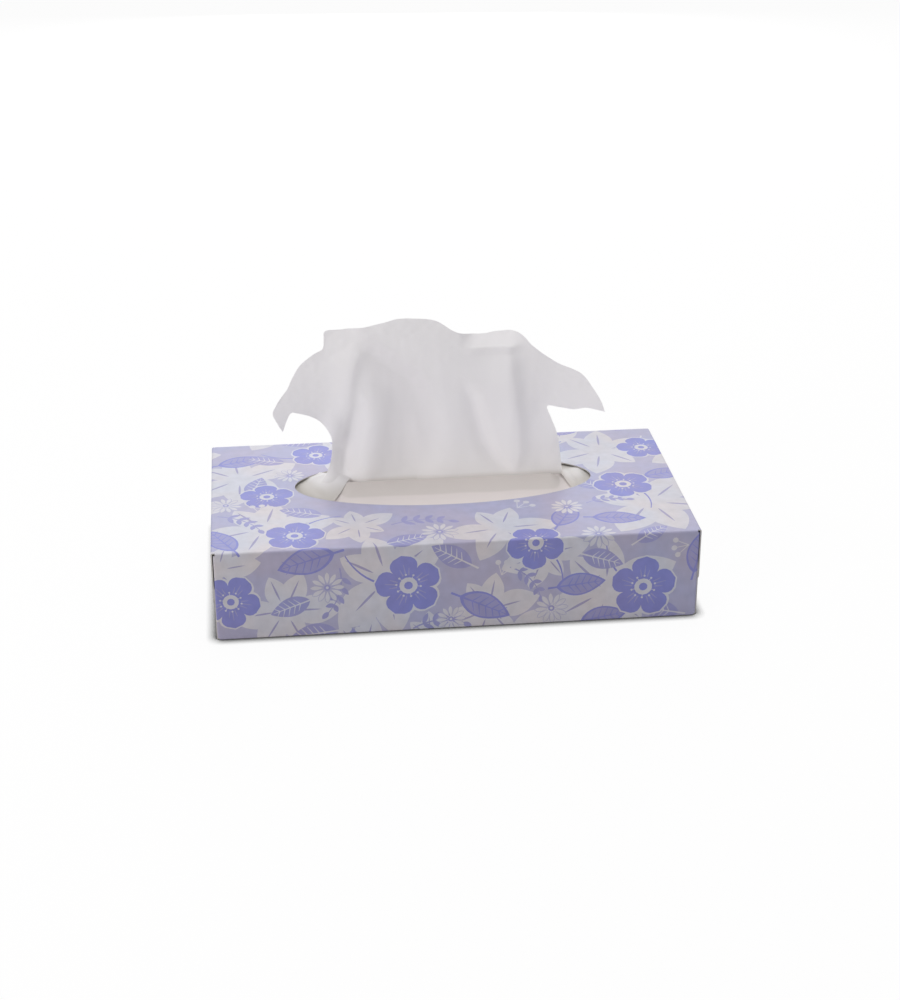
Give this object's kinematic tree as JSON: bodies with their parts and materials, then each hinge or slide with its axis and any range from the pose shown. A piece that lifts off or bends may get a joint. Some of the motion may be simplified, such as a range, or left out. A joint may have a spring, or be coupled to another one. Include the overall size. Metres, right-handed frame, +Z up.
{
  "type": "tissue box",
  "caption": "Flat folded-card box of interfolded facial tissues, with an oval opening in its top and one tissue drawn up through it.",
  "frame": {"origin": "middle of the carton's underside", "axes": "+X along the carton's length, +Y towards its back panel, +Z up through the opening"},
  "size_m": [0.23, 0.125, 0.1295],
  "materials": {
    "card": "printed, low sheen",
    "tissue": "soft, matte"
  },
  "bodies": {
    "root": {"carton": "card", "tissue_pack": "tissue", "next_tissue": "tissue", "drawn_tissue": "tissue"}
  },
  "joints": []
}
